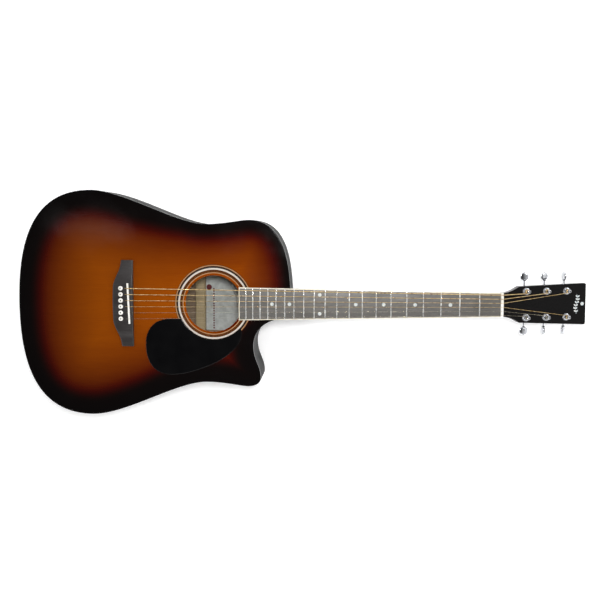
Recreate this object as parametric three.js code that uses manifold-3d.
// Steel-string acoustic guitar with a round cutaway, lying on its flat back.
//
// Row frame, in millimetres: +X towards the headstock, +Y towards the bass side, +Z up. The origin is on
// the flat back, on the centreline, under the end of the scale length.
//
// Everything is drawn in the instrument's own frame: x = 0 at the end of the scale length, z = 0 on the
// outer face of the soundboard. The body is deeper at the tail than at the neck, so the whole instrument
// is tilted by the taper's angle, which puts the back flat on z = 0.
import * as THREE from "three";
import { mergeVertices } from "three/addons/utils/BufferGeometryUtils.js";
import Module from "manifold-3d";

const wasm = await Module();
wasm.setup();

// ---------------------------------------------------------------- driving dimensions (mm, degrees)
const glue = 0.3; // glue line or fit gap between neighbouring pieces
const running = 0.4; // gap round a turning piece

const scaleLength = 650;
const fretCount = 20;
const bodyJoint = { tail: -202, neck: 283.5 }; // ends of the body along x
const bodyDepth = { tail: 115, neck: 98 };
// Widest and narrowest stations of the body: place along x, half width, and the curve handles on each side.
const lowerBout = { x: -71.3, half: 200.2, towardsTail: 104.5, towardsNeck: 59 };
const waist = { x: 133.6, half: 140.4, towardsTail: 53, towardsNeck: 34 };
const upperBout = { x: 208, half: 147.7, towardsTail: 14, towardsNeck: 55 };
const tailHandle = 108;
const shoulderHandle = 95;
// The cutaway on the treble side: the tip of the horn, the bottom of the valley and the end at the neck.
const horn = { x: 230.3, y: -131.5, fromBout: 15, before: 9.5, after: 20 };
const valley = { x: 217.1, y: -76, before: 25, after: 8 };
const cutawayEnd = { y: -25.5, handle: 65 };

const plate = 3; // soundboard and back
const rib = 2.5; // bent sides
const binding = { width: 2, height: 6 };
const lining = { width: 5.5, height: 14 };
const block = { tailLength: 16, neckLength: 52, halfWidth: 38 };
const brace = { width: 10, height: 14, taper: 22, tipHeight: 4 };
const xBrace = { x: 66, angle: 50, towardsNeck: 166, towardsTail: 232 };
const transverse = { fromHole: 2, width: 8, height: 14 };
const toneBar = { x: -90, y: 18, length: 170, angle: 107, width: 7, height: 11 };
const backBrace = { at: [-106, 2, 106], width: 18, height: 10 };

const soundhole = { x: 147, radius: 50 };
const rosetteRing = { fromHole: 3, width: 16.3, thickness: 1.2 };
const pickguard = { thickness: 1, overRosette: 5.3, upperEdge: -27.3 }; // it covers the rosette's outer ring

const bridgeShape = { front: 4.5, wingBack: -17, bellyBack: -32, half: 76.7, height: 8, wingHeight: 4 };
const bridgePlateBox = { front: -6, back: -46, half: 70, thickness: 3 };
const saddleBar = { trebleX: -1.6, bassX: -4.6, half: 36, width: 3, depth: 5, top: 11.2 };
const pin = { x: -17, radius: 2.5, tipRadius: 2.1, length: 24, headRadius: 4.25, headHeight: 3 };

const board = { nutWidth: 42, endWidth: 58, endX: 192, thickness: 6, binding: 1.6 };
const fret = { width: 2, crown: 1, tang: 0.6 };
const nutBlock = { length: 5, top: 8.4 };
const neckWood = { depthNut: 15, depthHeel: 18, heelStart: 348 };
const heel = { depth: 93, width: 30, length: 27 };
const tenon = { half: 9.7, length: 14, top: -6.6, bottom: -78 };
const rod = { radius: 2.5, z: -10, inside: 224, end: 636 };

const headAngle = 13.5;
const headPlate = { length: 157, thickness: 15, nutHalf: 21, tipHalf: 37, corner: 4 };
const headShoulder = { at: 31, half: 32 };

const tuner = { first: 43.2, spacing: 38.2, offset: 23 };
const post = { radius: 3, waist: 2.5, height: 13, stringHeight: 7, holeRadius: 0.9 };
const gear = { radius: 3.4, thickness: 4, below: 5.2 };
const worm = { radius: 1.6, length: 9, shaft: 1.5 };
const housing = { back: 7.5, front: 9.5, half: 8, height: 11, barrel: 4.8 };
const button = { start: 19, length: 13.3, half: 8, neckHalf: 3.6, thickness: 5.5 };
const buttonRest = { bass: [0, 20, 86], treble: [5, 78, 48] }; // rest angle of each button, nut to tip

const stringGauge = [1.35, 1.07, 0.81, 0.61, 0.41, 0.3]; // bass to treble
const stringSpan = { nut: 35.5, saddle: 54, nutHeight: 7.9, saddleHeight: 11.45 };
const stringAtPin = 1.9; // the string's place in the slot of its pin
const strapButtonSize = { radius: 7, waist: 3.6, length: 14, screw: 3, screwLength: 14 };

// ---------------------------------------------------------------- frames
const backTilt = Math.atan((bodyDepth.tail - bodyDepth.neck) / (bodyJoint.neck - bodyJoint.tail));
const depthAt = (x) => bodyDepth.neck + (bodyJoint.neck - x) * Math.tan(backTilt);
const nutBack = scaleLength + nutBlock.length;
const rosetteInner = soundhole.radius + rosetteRing.fromHole;
const rosetteOuter = rosetteInner + rosetteRing.width;

const instrument = new THREE.Group();
instrument.rotation.y = backTilt;
instrument.position.z = depthAt(0) * Math.cos(backTilt);
instrument.updateMatrix();
const rowToInstrument = instrument.matrix.clone().invert();

const head = new THREE.Group(); // x along the headstock's face, z out of it
head.rotation.y = THREE.MathUtils.degToRad(headAngle);
head.position.x = nutBack;
head.updateMatrix();
instrument.add(head);

// ---------------------------------------------------------------- materials
const finish = (color, roughness, metalness = 0) =>
  new THREE.MeshStandardMaterial({ color, roughness, metalness });
const sunburst = finish(0x9a4c08, 0.15);
const blackGloss = finish(0x0c0b0b, 0.12);
const spruce = finish(0xcfa56e, 0.7);
const mahogany = finish(0x6b3a22, 0.65);
const rosewood = finish(0x3a2c26, 0.5);
const ivory = finish(0xeeeae0, 0.35);
const blackPlastic = finish(0x111112, 0.2);
const chrome = finish(0xc9ccd0, 0.15, 1);
const steel = finish(0xb9bcc2, 0.3, 1);
const bronze = finish(0xb08a4a, 0.35, 1);

// ---------------------------------------------------------------- solids
// A closed geometry as a solid for joins and cuts.
function solid(geometry) {
  const loose = geometry.index ? geometry.toNonIndexed() : geometry;
  const bare = new THREE.BufferGeometry().setAttribute("position", loose.getAttribute("position"));
  const merged = mergeVertices(bare, 1e-4);
  return new wasm.Manifold(
    new wasm.Mesh({
      numProp: 3,
      vertProperties: merged.attributes.position.array,
      triVerts: new Uint32Array(merged.index.array),
    }),
  );
}

const cut = (body, ...tools) => tools.reduce((left, tool) => left.subtract(tool), body);
const join = (body, ...more) => more.reduce((sum, other) => sum.add(other), body);

function geometryOf(body) {
  const mesh = body.getMesh();
  const position = new Float32Array(mesh.numVert * 3);
  for (let i = 0; i < mesh.numVert; i++)
    position.set(mesh.vertProperties.subarray(i * mesh.numProp, i * mesh.numProp + 3), i * 3);
  return new THREE.BufferGeometry()
    .setAttribute("position", new THREE.BufferAttribute(position, 3))
    .setIndex(new THREE.BufferAttribute(mesh.triVerts, 1));
}

// Adds one named piece, given as a solid or as a geometry, to a group.
function addPiece(name, shape, material, parent = instrument) {
  const mesh = new THREE.Mesh(shape.isBufferGeometry ? shape : geometryOf(shape), material);
  mesh.name = name;
  parent.add(mesh);
  return mesh;
}

// A prism on an outline of Vector2 or a THREE.Shape, from z = low to z = high.
function prism(outline, low, high, curveSegments = 8) {
  const shape = outline instanceof THREE.Shape ? outline : new THREE.Shape(outline);
  const geometry = new THREE.ExtrudeGeometry(shape, {
    depth: high - low,
    bevelEnabled: false,
    curveSegments,
  });
  return solid(geometry.translate(0, 0, low));
}

function box(xLow, xHigh, yLow, yHigh, zLow, zHigh) {
  const geometry = new THREE.BoxGeometry(xHigh - xLow, yHigh - yLow, zHigh - zLow);
  return solid(geometry.translate((xLow + xHigh) / 2, (yLow + yHigh) / 2, (zLow + zHigh) / 2));
}

// A round bar standing on z = low at (x, y).
function bar(radius, low, high, x = 0, y = 0, sides = 12) {
  const geometry = new THREE.CylinderGeometry(radius, radius, high - low, sides);
  return solid(geometry.rotateX(Math.PI / 2).translate(x, y, (low + high) / 2));
}

// A round bar along y, from low to high, at (x, z).
function barAlongY(radius, low, high, x, z, sides = 8) {
  const geometry = new THREE.CylinderGeometry(radius, radius, high - low, sides);
  return solid(geometry.translate(x, (low + high) / 2, z));
}

// A turned piece about z, from [radius, height] pairs listed from the bottom up.
function turned(profile, sides) {
  const points = profile.map(([radius, height]) => new THREE.Vector2(radius, height));
  return new THREE.LatheGeometry(points, sides).rotateX(Math.PI / 2);
}

// A route of straight stretches that a swept section follows point by point.
class Route extends THREE.Curve {
  constructor(points) {
    super();
    this.points = points;
  }
  getPoint(t) {
    const last = this.points.length - 1;
    const place = Math.min(Math.max(t, 0), 1) * last;
    const i = Math.min(Math.floor(place), last - 1);
    return this.points[i].clone().lerp(this.points[i + 1], place - i);
  }
  getPointAt(u) {
    return this.getPoint(u);
  }
  getTangentAt(u) {
    const last = this.points.length - 1;
    const i = Math.round(u * last);
    const along = new THREE.Vector3();
    for (const k of [i - 1, i])
      if (k >= 0 && k < last)
        along.add(this.points[k + 1].clone().sub(this.points[k]).normalize());
    return along.normalize();
  }
}

function wire(points, radius, sides = 6) {
  const section = new THREE.Shape();
  for (let i = 0; i < sides; i++) {
    const angle = (2 * Math.PI * i) / sides;
    const corner = [radius * Math.cos(angle), radius * Math.sin(angle)];
    if (i === 0) section.moveTo(...corner);
    else section.lineTo(...corner);
  }
  return solid(
    new THREE.ExtrudeGeometry(section, {
      steps: points.length - 1,
      extrudePath: new Route(points),
      bevelEnabled: false,
    }),
  );
}

// A closed skin over sections with the same number of points each. Seen from the last section, the points
// of each run counterclockwise.
function loft(sections) {
  const count = sections[0].length;
  const position = sections.flat().flatMap((p) => [p.x, p.y, p.z]);
  const index = [];
  for (let s = 0; s + 1 < sections.length; s++)
    for (let i = 0; i < count; i++) {
      const a = s * count + i;
      const b = s * count + ((i + 1) % count);
      index.push(a, b, a + count, b, b + count, a + count);
    }
  const end = (sections.length - 1) * count;
  for (let i = 1; i + 1 < count; i++) {
    index.push(0, i + 1, i);
    index.push(end, end + i, end + i + 1);
  }
  const geometry = new THREE.BufferGeometry()
    .setAttribute("position", new THREE.Float32BufferAttribute(position, 3))
    .setIndex(index);
  return solid(geometry);
}

// ---------------------------------------------------------------- body outline
const CURVE_STEPS = 8;

// Bass side, from the middle of the tail to the middle of the neck joint.
function bassCurve() {
  const path = new THREE.Path();
  path.moveTo(bodyJoint.tail, 0);
  path.bezierCurveTo(bodyJoint.tail, tailHandle, lowerBout.x - lowerBout.towardsTail, lowerBout.half,
    lowerBout.x, lowerBout.half);
  path.bezierCurveTo(lowerBout.x + lowerBout.towardsNeck, lowerBout.half, waist.x - waist.towardsTail,
    waist.half, waist.x, waist.half);
  path.bezierCurveTo(waist.x + waist.towardsNeck, waist.half, upperBout.x - upperBout.towardsTail,
    upperBout.half, upperBout.x, upperBout.half);
  path.bezierCurveTo(upperBout.x + upperBout.towardsNeck, upperBout.half, bodyJoint.neck,
    shoulderHandle, bodyJoint.neck, 0);
  return path.getPoints(CURVE_STEPS);
}

// Treble side, from the middle of the tail round the horn and the cutaway to its end at the neck.
function trebleCurve() {
  const path = new THREE.Path();
  path.moveTo(bodyJoint.tail, 0);
  path.bezierCurveTo(bodyJoint.tail, -tailHandle, lowerBout.x - lowerBout.towardsTail, -lowerBout.half,
    lowerBout.x, -lowerBout.half);
  path.bezierCurveTo(lowerBout.x + lowerBout.towardsNeck, -lowerBout.half, waist.x - waist.towardsTail,
    -waist.half, waist.x, -waist.half);
  path.bezierCurveTo(waist.x + waist.towardsNeck, -waist.half, upperBout.x - upperBout.towardsTail,
    -upperBout.half, upperBout.x, -upperBout.half);
  path.bezierCurveTo(upperBout.x + horn.fromBout, -upperBout.half, horn.x, horn.y - horn.before,
    horn.x, horn.y);
  path.bezierCurveTo(horn.x, horn.y + horn.after, valley.x, valley.y - valley.before, valley.x, valley.y);
  path.bezierCurveTo(valley.x, valley.y + valley.after, bodyJoint.neck - cutawayEnd.handle, cutawayEnd.y,
    bodyJoint.neck, cutawayEnd.y);
  return path.getPoints(CURVE_STEPS);
}

// The curve moved into the body by a distance; side is +1 on the bass half and -1 on the treble half.
function inset(curve, distance, side) {
  return curve.map((point, i) => {
    const before = curve[Math.max(i - 1, 0)];
    const after = curve[Math.min(i + 1, curve.length - 1)];
    const along = after.clone().sub(before).normalize();
    if (i === 0) along.set(0, side);
    return new THREE.Vector2(point.x + side * along.y * distance, point.y - side * along.x * distance);
  });
}

// The whole body's plan, moved in from the outline by a distance.
function bodyPlan(distance) {
  const neckEnd = bodyJoint.neck - distance;
  const bass = inset(bassCurve(), distance, 1).filter((p) => p.y >= 0 && p.x <= neckEnd);
  const treble = inset(trebleCurve(), distance, -1).filter((p) => p.y < 0 && p.x < neckEnd - glue);
  const corner = new THREE.Vector2(neckEnd, cutawayEnd.y + distance);
  const joint = new THREE.Vector2(neckEnd, 0);
  return [...bass, joint, corner, ...treble.reverse()];
}

// Half width of the body at x on the bass side.
function halfWidthAt(x) {
  const curve = bassCurve();
  const i = curve.findIndex((p) => p.x >= x);
  const [a, b] = [curve[i - 1], curve[i]];
  return THREE.MathUtils.mapLinear(x, a.x, b.x, a.y, b.y);
}

// How far from the centreline a bar between two stations runs on the treble side before it meets the edge
// of the plan moved in by a distance, which is the cutaway where the bar passes it.
function trebleReach(low, high, distance) {
  const edge = inset(trebleCurve(), distance, -1);
  const crossings = edge.slice(1).flatMap((b, i) => {
    const a = edge[i];
    const [start, end] = [Math.max(Math.min(a.x, b.x), low), Math.min(Math.max(a.x, b.x), high)];
    const depthOf = (x) => Math.abs(THREE.MathUtils.mapLinear(x, a.x, b.x, a.y, b.y));
    return start < end ? [depthOf(start), depthOf(end)] : [];
  });
  return Math.min(...crossings);
}

// The space between two heights above the back, over the whole instrument.
function aboveBack(low, high) {
  const reach = 2 * scaleLength;
  const geometry = new THREE.BoxGeometry(reach, reach, high - low).translate(0, 0, (low + high) / 2);
  return solid(geometry.applyMatrix4(rowToInstrument));
}

const deepest = -bodyDepth.tail - 2 * binding.height;
const wall = (outer, inner) =>
  cut(prism(bodyPlan(outer), deepest, 0), prism(bodyPlan(inner), deepest - 1, 1));
const below = (z) => box(-scaleLength, scaleLength, -scaleLength, scaleLength, deepest - 1, z);
const half = (side) => {
  const [low, high] = side > 0 ? [glue / 2, scaleLength] : [-scaleLength, -glue / 2];
  return box(-scaleLength, scaleLength, low, high, deepest - 1, 1);
};

// ---------------------------------------------------------------- strings (their routes cut other pieces)
const stringPlaces = stringGauge.map((gauge, i) => {
  const share = 0.5 - i / (stringGauge.length - 1);
  const bass = i < stringGauge.length / 2;
  return {
    radius: gauge / 2,
    nutY: share * stringSpan.nut,
    saddleY: share * stringSpan.saddle,
    side: bass ? 1 : -1,
    station: bass ? i : stringGauge.length - 1 - i,
  };
});
const saddleX = (y) =>
  THREE.MathUtils.mapLinear(y, -saddleBar.half, saddleBar.half, saddleBar.trebleX, saddleBar.bassX);
const postAlong = (station) => tuner.first + station * tuner.spacing;

function stringRoute({ radius, nutY, saddleY, side, station }) {
  const slotX = pin.x + stringAtPin;
  const besidePost = side * (tuner.offset - post.radius - radius - glue);
  const atPost = new THREE.Vector3(postAlong(station), besidePost, post.stringHeight);
  return [
    new THREE.Vector3(slotX, saddleY, -2 * plate - bridgePlateBox.thickness),
    new THREE.Vector3(slotX, saddleY, bridgeShape.height / 4),
    new THREE.Vector3(saddleX(saddleY), saddleY, stringSpan.saddleHeight + radius),
    new THREE.Vector3(scaleLength, nutY, stringSpan.nutHeight + radius),
    new THREE.Vector3(nutBack - 1, nutY, stringSpan.nutHeight + radius - 0.2),
    atPost.applyMatrix4(head.matrix),
  ];
}
const stringRoutes = stringPlaces.map(stringRoute);
const stringPaths = stringRoutes.map((route, i) => wire(route, stringPlaces[i].radius + glue, 8));

// ---------------------------------------------------------------- body pieces
function buildPlates() {
  const pinHole = pin.radius + glue;
  const hole = bar(soundhole.radius, -plate - 1, 1, soundhole.x, 0, 32);
  const groove = cut(
    bar(rosetteOuter + glue, -rosetteRing.thickness - glue, 1, soundhole.x, 0, 32),
    bar(rosetteInner - glue, -plate - 1, 2, soundhole.x, 0, 32),
  );
  const pinHoles = stringPlaces.map((s) => bar(pinHole, -plate - 1, 1, pin.x, s.saddleY));
  const top = prism(bodyPlan(binding.width + glue), -plate, 0);
  addPiece("soundboard", cut(top, hole, groove, ...pinHoles), sunburst);

  const ring = cut(
    bar(rosetteOuter, -rosetteRing.thickness, 0, soundhole.x, 0, 32),
    bar(rosetteInner, -rosetteRing.thickness - 1, 1, soundhole.x, 0, 32),
  );
  addPiece("rosette", ring, ivory);

  const back = prism(bodyPlan(binding.width + glue), deepest, 0).intersect(aboveBack(0, plate));
  addPiece("back_plate", back, mahogany);
  addPiece("top_binding", cut(wall(0, binding.width), below(-binding.height)), blackGloss);
  addPiece("back_binding", wall(0, binding.width).intersect(aboveBack(0, binding.height)), blackGloss);
}

function buildSides() {
  const overBinding = aboveBack(binding.height + glue, 2 * bodyDepth.tail);
  const between = overBinding.intersect(below(-binding.height - glue));
  const tenonGap = box(bodyJoint.neck - 2 * rib, bodyJoint.neck + 1, -tenon.half - glue, tenon.half + glue,
    deepest, 1);
  const screwHole = strapScrewHole();
  const ring = cut(wall(0, rib).intersect(between), tenonGap, screwHole);
  addPiece("side_bass", ring.intersect(half(1)), blackGloss);
  addPiece("side_treble", ring.intersect(half(-1)), blackGloss);
}

function strapScrewHole() {
  const radius = strapButtonSize.screw + glue;
  const geometry = new THREE.CylinderGeometry(radius, radius, 60, 12).rotateZ(Math.PI / 2);
  return solid(geometry.translate(bodyJoint.tail, 0, strapButtonZ()));
}

function strapButtonZ() {
  return -depthAt(bodyJoint.tail) / 2;
}

function neckBlockBox(grow) {
  return box(bodyJoint.neck - block.neckLength - grow, bodyJoint.neck, -block.halfWidth - grow,
    block.halfWidth + grow, deepest, 1);
}

function tailBlockBox(grow) {
  return box(bodyJoint.tail, bodyJoint.tail + rib + glue + block.tailLength + grow, -block.halfWidth - grow,
    block.halfWidth + grow, deepest, 1);
}

function buildBlocks() {
  const inside = prism(bodyPlan(rib + glue), deepest, 0)
    .intersect(aboveBack(plate + glue, 2 * bodyDepth.tail))
    .intersect(below(-plate - glue));
  const mortise = box(bodyJoint.neck - tenon.length - 2 * glue, bodyJoint.neck + 1, -tenon.half - glue,
    tenon.half + glue, tenon.bottom - glue, 1);
  const rodHole = box(bodyJoint.neck - 2 * block.neckLength, bodyJoint.neck, -rod.radius - glue,
    rod.radius + glue, rod.z - rod.radius - glue, rod.z + rod.radius + glue);
  addPiece("neck_block", cut(inside.intersect(neckBlockBox(0)), mortise, rodHole), mahogany);
  addPiece("tail_block", cut(inside.intersect(tailBlockBox(0)), strapScrewHole()), mahogany);
}

function buildLinings() {
  const strip = cut(wall(rib + glue, rib + glue + lining.width), neckBlockBox(glue), tailBlockBox(glue));
  const underTop = cut(strip.intersect(below(-plate - glue)), below(-plate - glue - lining.height));
  const overBack = strip.intersect(aboveBack(plate + glue, plate + glue + lining.height));
  addPiece("top_lining_bass", underTop.intersect(half(1)), spruce);
  addPiece("top_lining_treble", underTop.intersect(half(-1)), spruce);
  addPiece("back_lining_bass", overBack.intersect(half(1)), spruce);
  addPiece("back_lining_treble", overBack.intersect(half(-1)), spruce);
}

// A bar glued under z = 0 from x = start to x = end, thinned towards both ends.
function braceBar(start, end, width, height) {
  const profile = new THREE.Shape();
  profile.moveTo(start, 0);
  profile.lineTo(start, -brace.tipHeight);
  profile.lineTo(start + brace.taper, -height);
  profile.lineTo(end - brace.taper, -height);
  profile.lineTo(end, -brace.tipHeight);
  profile.lineTo(end, 0);
  const geometry = new THREE.ExtrudeGeometry(profile, { depth: width, bevelEnabled: false });
  return geometry.translate(0, 0, -width / 2).rotateX(Math.PI / 2);
}

function buildBraces() {
  const under = -plate - glue;
  const insideLinings = prism(bodyPlan(rib + lining.width + 2 * glue), deepest, 0);
  const placed = (geometry, angle, x, y) =>
    solid(geometry.rotateZ(THREE.MathUtils.degToRad(angle)).translate(x, y, under)).intersect(insideLinings);
  const arm = (side, width) =>
    placed(braceBar(-xBrace.towardsTail, xBrace.towardsNeck, width, brace.height), side * xBrace.angle,
      xBrace.x, 0);
  const lap = under - brace.height / 2;
  const upper = box(0, 2 * xBrace.x, -brace.width * 2, brace.width * 2, lap - glue / 2, 1);
  const lower = box(0, 2 * xBrace.x, -brace.width * 2, brace.width * 2, lap - brace.height, lap + glue / 2);
  const notch = (side, level) => arm(side, brace.width + 2 * glue).intersect(level);
  addPiece("x_brace_bass", cut(arm(1, brace.width), notch(-1, upper)), spruce);
  addPiece("x_brace_treble", cut(arm(-1, brace.width), notch(1, lower)), spruce);

  const acrossX = soundhole.x + soundhole.radius + transverse.fromHole + transverse.width / 2;
  const fromEdge = rib + lining.width + 2 * glue;
  const bassReach = halfWidthAt(acrossX) - fromEdge;
  const clear = trebleReach(acrossX - transverse.width / 2, acrossX + transverse.width / 2, fromEdge);
  const across = braceBar(-Math.min(bassReach, clear), bassReach, transverse.width, transverse.height);
  addPiece("transverse_brace", placed(across, 90, acrossX, 0), spruce);
  const tone = braceBar(-toneBar.length / 2, toneBar.length / 2, toneBar.width, toneBar.height);
  addPiece("tone_bar", placed(tone, toneBar.angle, toneBar.x, toneBar.y), spruce);

  const pinHoles = stringPlaces.map((s) => bar(pin.radius + glue, -20, 1, pin.x, s.saddleY));
  const plank = box(bridgePlateBox.back, bridgePlateBox.front, -bridgePlateBox.half, bridgePlateBox.half,
    under - bridgePlateBox.thickness, under);
  addPiece("bridge_plate", cut(plank, ...pinHoles), rosewood);

  backBrace.at.forEach((x, i) => {
    const length = halfWidthAt(x) - rib - lining.width - 2 * glue;
    const geometry = braceBar(-length, length, backBrace.width, backBrace.height);
    geometry.rotateZ(Math.PI / 2).rotateX(Math.PI).translate(0, 0, plate + glue);
    geometry.applyMatrix4(rowToInstrument).translate(x, 0, depthAt(0) - depthAt(x));
    addPiece(`back_brace_${i + 1}`, solid(geometry).intersect(insideLinings), spruce);
  });
}

function buildStrapButton() {
  const { radius, waist: neckRadius, length, screw, screwLength } = strapButtonSize;
  const shape = turned(
    [
      [0, -screwLength],
      [screw, -screwLength],
      [screw, glue],
      [radius, glue],
      [neckRadius, length / 2],
      [radius, length - 3],
      [radius, length],
      [0, length],
    ],
    16,
  );
  addPiece("strap_button", shape.rotateY(-Math.PI / 2).translate(bodyJoint.tail, 0, strapButtonZ()), chrome);
}

// A drop-shaped guard: its upper edge runs beside the strings, and the rosette's disc is cut out of it.
function buildPickguard() {
  const outline = new THREE.Shape();
  outline.moveTo(soundhole.x, pickguard.upperEdge);
  outline.lineTo(70, pickguard.upperEdge);
  outline.bezierCurveTo(40, pickguard.upperEdge, 25.4, -47, 25.4, -72);
  outline.bezierCurveTo(25.4, -108, 42, -127.5, 72, -127);
  outline.bezierCurveTo(98, -127, 130, -115, 151, -104.8);
  outline.bezierCurveTo(178, -90.5, 196.8, -72, 196.8, -50);
  outline.lineTo(190, -28);
  const innerEdge = rosetteOuter - pickguard.overRosette;
  const rosetteDisc = bar(innerEdge, 0, 2 * pickguard.thickness, soundhole.x, 0, 48);
  const sheet = prism(outline, glue, glue + pickguard.thickness, 6);
  addPiece("pickguard", cut(sheet, rosetteDisc), blackPlastic);
}

// ---------------------------------------------------------------- bridge
function buildBridge() {
  const { front, wingBack, bellyBack, half: reach, height, wingHeight } = bridgeShape;
  const outline = new THREE.Shape();
  outline.moveTo(front, -reach);
  outline.lineTo(front, reach);
  outline.lineTo(wingBack, reach);
  outline.bezierCurveTo(wingBack - 2, 0.74 * reach, bellyBack + 5, 0.62 * reach, bellyBack + 1, 0.43 * reach);
  outline.quadraticCurveTo(bellyBack - 1, 0, bellyBack + 1, -0.43 * reach);
  outline.bezierCurveTo(bellyBack + 5, -0.62 * reach, wingBack - 2, -0.74 * reach, wingBack, -reach);
  const rise = new THREE.Shape();
  rise.moveTo(-reach, glue);
  rise.lineTo(reach, glue);
  rise.lineTo(reach, glue + wingHeight);
  rise.lineTo(0.84 * reach, glue + wingHeight);
  rise.quadraticCurveTo(0.74 * reach, glue + wingHeight, 0.66 * reach, glue + height);
  rise.lineTo(-0.66 * reach, glue + height);
  rise.quadraticCurveTo(-0.74 * reach, glue + wingHeight, -0.84 * reach, glue + wingHeight);
  rise.lineTo(-reach, glue + wingHeight);
  const profile = new THREE.ExtrudeGeometry(rise, { depth: 60, bevelEnabled: false, curveSegments: 3 });
  profile.rotateX(Math.PI / 2).rotateZ(Math.PI / 2).translate(-40, 0, 0);
  const body = prism(outline, 0, 2 * height, 6).intersect(solid(profile));
  const pinHoles = stringPlaces.map((s) => bar(pin.radius + glue, -1, 2 * height, pin.x, s.saddleY));
  const slot = saddleShape(glue, glue + height - saddleBar.depth - glue);
  addPiece("bridge", cut(body, slot, ...pinHoles, ...stringPaths), rosewood);
  addPiece("saddle", cut(saddleShape(0, glue + height - saddleBar.depth), ...stringPaths), ivory);
}

// The saddle's bar, grown on its sides by a clearance, from z = low up to its top.
function saddleShape(grow, low) {
  const run = saddleBar.trebleX - saddleBar.bassX;
  const angle = Math.atan2(run, 2 * saddleBar.half);
  const geometry = new THREE.BoxGeometry(saddleBar.width + 2 * grow, 2 * (saddleBar.half + grow),
    saddleBar.top - low);
  geometry.rotateZ(angle).translate(saddleX(0), 0, (saddleBar.top + low) / 2);
  return solid(geometry);
}

function buildPins() {
  const seat = glue + bridgeShape.height + glue;
  stringPlaces.forEach((place, i) => {
    const shape = turned(
      [
        [0, seat - pin.length],
        [pin.tipRadius, seat - pin.length],
        [pin.radius, seat],
        [pin.headRadius, seat],
        [pin.headRadius, seat + pin.headHeight / 2],
        [pin.headRadius / 2, seat + pin.headHeight],
        [0, seat + pin.headHeight],
      ],
      10,
    );
    const placed = solid(shape.translate(pin.x, place.saddleY, 0));
    addPiece(`bridge_pin_${i + 1}`, cut(placed, stringPaths[i]), ivory);
  });
}

// ---------------------------------------------------------------- neck and fretboard
const boardHalfAt = (x) =>
  THREE.MathUtils.mapLinear(x, board.endX, scaleLength, board.endWidth, board.nutWidth) / 2;

// The fretboard's plan, moved in from its sides and its end by a distance.
function boardPlan(distance) {
  const nutEnd = scaleLength - glue;
  const bodyEnd = board.endX + distance;
  return [
    new THREE.Vector2(nutEnd, boardHalfAt(nutEnd) - distance),
    new THREE.Vector2(bodyEnd, boardHalfAt(bodyEnd) - distance),
    new THREE.Vector2(bodyEnd, -boardHalfAt(bodyEnd) + distance),
    new THREE.Vector2(nutEnd, -boardHalfAt(nutEnd) + distance),
  ];
}

function buildFretboard() {
  const top = glue + board.thickness;
  const seam = board.binding + glue;
  const frets = Array.from({ length: fretCount }, (_, i) => {
    const x = scaleLength * 2 ** (-(i + 1) / 12);
    const reach = boardHalfAt(x) - seam;
    return box(x - fret.width / 2, x + fret.width / 2, -reach, reach, top - fret.tang, top + fret.crown);
  });
  addPiece("fretboard", join(prism(boardPlan(seam), glue, top), ...frets), rosewood);
  const edge = cut(
    prism(boardPlan(0), glue, top),
    prism(boardPlan(board.binding), 0, 2 * top),
    box(scaleLength - 2 * glue, scaleLength, -board.nutWidth, board.nutWidth, 0, 2 * top),
  );
  addPiece("fretboard_binding", edge, ivory);
  const nut = box(scaleLength, nutBack - glue, -board.nutWidth / 2, board.nutWidth / 2, glue, nutBlock.top);
  addPiece("nut", cut(nut, ...stringPaths), ivory);
}

// A half-round neck section at x: flat on z = 0, as wide as the fretboard.
function neckSection(x, depth) {
  const points = 10;
  const reach = boardHalfAt(Math.min(x, scaleLength));
  return Array.from({ length: points + 1 }, (_, i) => {
    const angle = (Math.PI * i) / points;
    return new THREE.Vector3(x, reach * Math.cos(angle), -depth * Math.sin(angle) ** 0.7);
  });
}

// A heel section at depth z: flat on the body, with a round nose towards the headstock.
function heelSection(z, reach, length) {
  const points = 8;
  const start = bodyJoint.neck + glue;
  return Array.from({ length: points + 1 }, (_, i) => {
    const angle = -Math.PI / 2 + (Math.PI * i) / points;
    return new THREE.Vector3(start + length * Math.cos(angle) ** 0.8, reach * Math.sin(angle), z);
  });
}

function headOutline() {
  const { length, nutHalf, tipHalf, corner } = headPlate;
  const { at: shoulderAt, half: shoulderHalf } = headShoulder;
  const outline = new THREE.Shape();
  outline.moveTo(-1, -nutHalf);
  outline.bezierCurveTo(shoulderAt / 2, -nutHalf - 1, shoulderAt * 0.75, -shoulderHalf + 4, shoulderAt,
    -shoulderHalf);
  outline.lineTo(length - corner, -tipHalf);
  outline.quadraticCurveTo(length, -tipHalf, length, -tipHalf + corner);
  outline.lineTo(length, tipHalf - corner);
  outline.quadraticCurveTo(length, tipHalf, length - corner, tipHalf);
  outline.lineTo(shoulderAt, shoulderHalf);
  outline.bezierCurveTo(shoulderAt * 0.75, shoulderHalf - 4, shoulderAt / 2, nutHalf + 1, -1, nutHalf);
  return outline;
}

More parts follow.
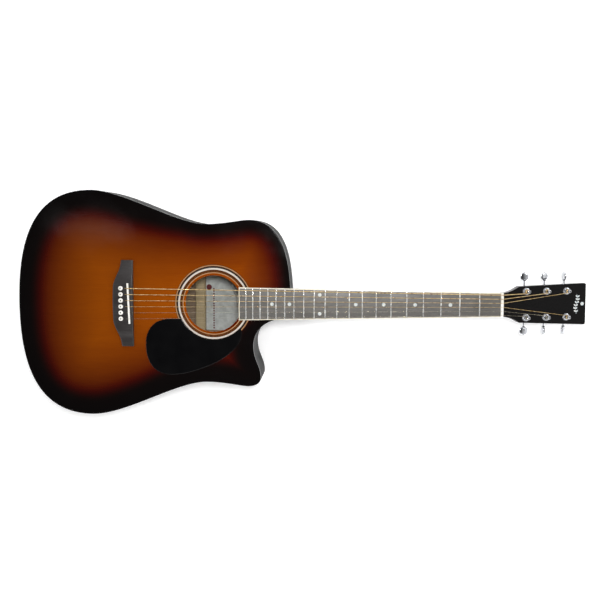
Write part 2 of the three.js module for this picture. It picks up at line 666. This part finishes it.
function buildNeck() {
  const { depthNut, depthHeel, heelStart } = neckWood;
  const start = bodyJoint.neck + glue;
  const shaft = loft([
    neckSection(nutBack, depthNut),
    neckSection(scaleLength, depthNut),
    neckSection(heelStart, depthHeel),
    neckSection(start, depthHeel),
  ]);
  const topHalf = boardHalfAt(start) - 1;
  const heelTop = -depthHeel / 2;
  const share = (a, b, t) => a + (b - a) * t;
  const heelWood = loft(
    [0, 0.12, 0.3, 0.55, 1].map((t) => {
      const reach = share(topHalf, heel.width / 2, 1 - (1 - t) ** 2.2);
      const length = share(heelStart - start, heel.length, 1 - (1 - t) ** 2.6);
      return heelSection(share(heelTop, -heel.depth, t), reach, length);
    }).reverse(),
  );
  const stub = box(start - tenon.length, start + 1, -tenon.half, tenon.half, tenon.bottom, tenon.top);
  const plateGeometry = new THREE.ExtrudeGeometry(headOutline(), {
    depth: headPlate.thickness,
    bevelEnabled: false,
    curveSegments: 5,
  });
  plateGeometry.translate(0, 0, -headPlate.thickness).applyMatrix4(head.matrix);
  const aboveFace = box(nutBack - 2, nutBack + 2, -board.nutWidth, board.nutWidth, 0, 5);
  const rodChannel = box(start - tenon.length - 1, rod.end + glue, -rod.radius - glue, rod.radius + glue,
    rod.z - rod.radius - glue, 1);
  const holes = [];
  eachTuner(({ along, y }) => {
    const drill = new THREE.CylinderGeometry(housing.barrel + running, housing.barrel + running, 60, 12);
    holes.push(solid(drill.rotateX(Math.PI / 2).translate(along, y, 0).applyMatrix4(head.matrix)));
  });
  const wood = join(shaft, heelWood, stub, solid(plateGeometry));
  addPiece("neck", cut(wood, aboveFace, rodChannel, ...holes), mahogany);

  const rodGeometry = new THREE.CylinderGeometry(rod.radius, rod.radius, rod.end - rod.inside, 10);
  rodGeometry.rotateZ(Math.PI / 2).translate((rod.end + rod.inside) / 2, 0, rod.z);
  addPiece("truss_rod", rodGeometry, steel);
}

// ---------------------------------------------------------------- tuners
function eachTuner(make) {
  for (const side of [1, -1])
    for (let station = 0; station < 3; station++)
      make({
        side,
        station,
        along: postAlong(station),
        y: side * tuner.offset,
        name: `${side > 0 ? "bass" : "treble"}_${station + 1}`,
        rest: buttonRest[side > 0 ? "bass" : "treble"][station],
      });
}

const wormOffset = gear.radius + worm.radius + running / 2;
const housingTop = -headPlate.thickness - glue;
const gearZ = housingTop - gear.below;

function housingShape(side) {
  const block = box(-housing.back, housing.front, -housing.half, housing.half, housingTop - housing.height,
    housingTop);
  const barrel = bar(housing.barrel, housingTop - 1, 0);
  const chamber = bar(gear.radius + running, gearZ - gear.thickness / 2 - running,
    gearZ + gear.thickness / 2 + running);
  const bore = bar(post.radius + glue, gearZ, 1);
  const wormSpace = worm.length / 2 + running;
  const channel = barAlongY(worm.radius + running, -wormSpace, wormSpace, wormOffset, gearZ);
  const outside = side * 2 * housing.half;
  const [shaftLow, shaftHigh] = [Math.min(0, outside), Math.max(0, outside)];
  const shaftHole = barAlongY(worm.shaft + glue, shaftLow, shaftHigh, wormOffset, gearZ);
  return cut(join(block, barrel), chamber, bore, channel, shaftHole);
}

function postShape() {
  const { radius, waist: slim, height, stringHeight, holeRadius } = post;
  const body = turned(
    [
      [0, gearZ - gear.thickness / 2],
      [gear.radius, gearZ - gear.thickness / 2],
      [gear.radius, gearZ + gear.thickness / 2],
      [radius, gearZ + gear.thickness / 2],
      [radius, stringHeight - 4],
      [slim, stringHeight - 2.5],
      [slim, stringHeight + 1.5],
      [radius, stringHeight + 3],
      [radius, height - 0.6],
      [radius - 0.6, height],
      [0, height],
    ],
    12,
  );
  return cut(solid(body), barAlongY(holeRadius, -2 * radius, 2 * radius, 0, stringHeight, 6));
}

// The button's flat grip, its shaft and its worm, along +y from the worm's middle.
function buttonShape() {
  const { start, length, half: reach, neckHalf, thickness } = button;
  const end = start + length;
  const grip = new THREE.Shape();
  grip.moveTo(neckHalf, start);
  grip.bezierCurveTo(reach - 1, start + 1, reach, start + length / 4, reach, start + length / 2);
  grip.bezierCurveTo(reach, end - 1.5, reach / 2, end, 0, end);
  grip.bezierCurveTo(-reach / 2, end, -reach, end - 1.5, -reach, start + length / 2);
  grip.bezierCurveTo(-reach, start + length / 4, -reach + 1, start + 1, -neckHalf, start);
  return join(
    prism(grip, -thickness / 2, thickness / 2, 3),
    barAlongY(worm.shaft, -worm.length / 2, start + 2, 0, 0),
    barAlongY(worm.radius, -worm.length / 2, worm.length / 2, 0, 0),
  );
}

function buildTuners() {
  const parts = { 1: housingShape(1), "-1": housingShape(-1) };
  eachTuner(({ side, along, y, name, rest }) => {
    const place = new THREE.Group();
    place.position.set(along, y, 0);
    head.add(place);
    addPiece(`tuner_housing_${name}`, parts[side], chrome, place);
    addPiece(`string_post_${name}`, postShape(), chrome, place);
    const turn = new THREE.Group();
    turn.position.set(wormOffset, 0, gearZ);
    turn.rotation.y = THREE.MathUtils.degToRad(rest);
    place.add(turn);
    const grip = geometryOf(buttonShape());
    if (side < 0) grip.rotateZ(Math.PI);
    addPiece(`tuner_button_${name}`, grip, chrome, turn);
  });
}

// ---------------------------------------------------------------- the guitar
buildPlates();
buildSides();
buildBlocks();
buildLinings();
buildBraces();
buildStrapButton();
buildPickguard();
buildBridge();
buildPins();
buildFretboard();
buildNeck();
buildTuners();
stringRoutes.forEach((route, i) => {
  const { radius } = stringPlaces[i];
  addPiece(`string_${i + 1}`, wire(route, radius), i < 4 ? bronze : steel);
});

const guitar = new THREE.Group();
guitar.add(instrument);
export default guitar;
